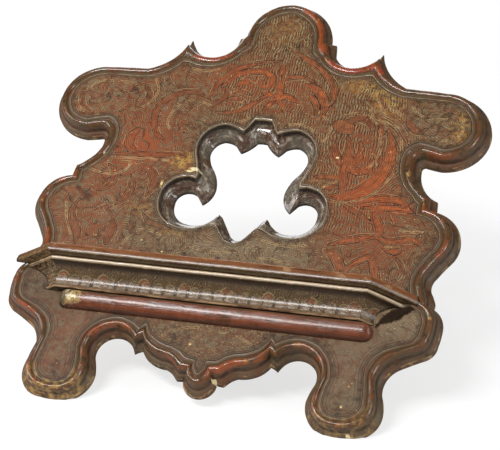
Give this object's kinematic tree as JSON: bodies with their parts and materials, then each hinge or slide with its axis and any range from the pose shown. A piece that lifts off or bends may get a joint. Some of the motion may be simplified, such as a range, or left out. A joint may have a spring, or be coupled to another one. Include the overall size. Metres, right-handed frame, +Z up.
{
  "type": "table lectern",
  "caption": "Table lectern with a carved, pierced and lacquered reading panel, a moulded book ledge and a folding rear frame.",
  "frame": {"origin": "centre of the bounding box on the table plane, in millimetre-true metres", "axes": "+Z up; the reading panel faces -Y and leans back; +X to the viewer's right as seen from the front"},
  "size_m": [0.468, 0.4028, 0.3084],
  "materials": {
    "lacquered_panel": "aged brown and red lacquer over gesso with painted scrolls, satin, worn on the edges",
    "lacquered_moulding": "aged dark brown lacquer with hatched engraving, satin to glossy",
    "plain_wood": "aged bare wood, matt",
    "forged_iron": "dark forged iron, slightly rusted"
  },
  "bodies": {
    "reading_panel": {"panel": "lacquered_panel", "ledge_core": "lacquered_panel", "ledge_front": "lacquered_moulding", "ledge_left_return": "lacquered_moulding", "ledge_right_return": "lacquered_moulding", "ledge_roll": "lacquered_moulding", "hinge_batten": "plain_wood", "low_batten": "plain_wood", "hinge_batten_nails": "forged_iron", "low_batten_nails": "forged_iron", "left_fixed_leaf": "forged_iron", "right_fixed_leaf": "forged_iron", "left_hinge_pin": "forged_iron", "right_hinge_pin": "forged_iron", "fixed_leaf_nails": "forged_iron"},
    "folding_frame": {"top_rail": "plain_wood", "left_leg": "plain_wood", "right_leg": "plain_wood", "foot_rail": "plain_wood", "frame_pegs": "plain_wood", "left_moving_leaf": "forged_iron", "right_moving_leaf": "forged_iron", "moving_leaf_nails": "forged_iron"}
  },
  "joints": [
    {"name": "frame_hinge", "type": "hinge", "parent": "reading_panel", "child": "folding_frame", "pos_m": [0, 0.10146, 0.20361], "axis": [1, 0, 0], "range_deg": [-63, 0]}
  ]
}
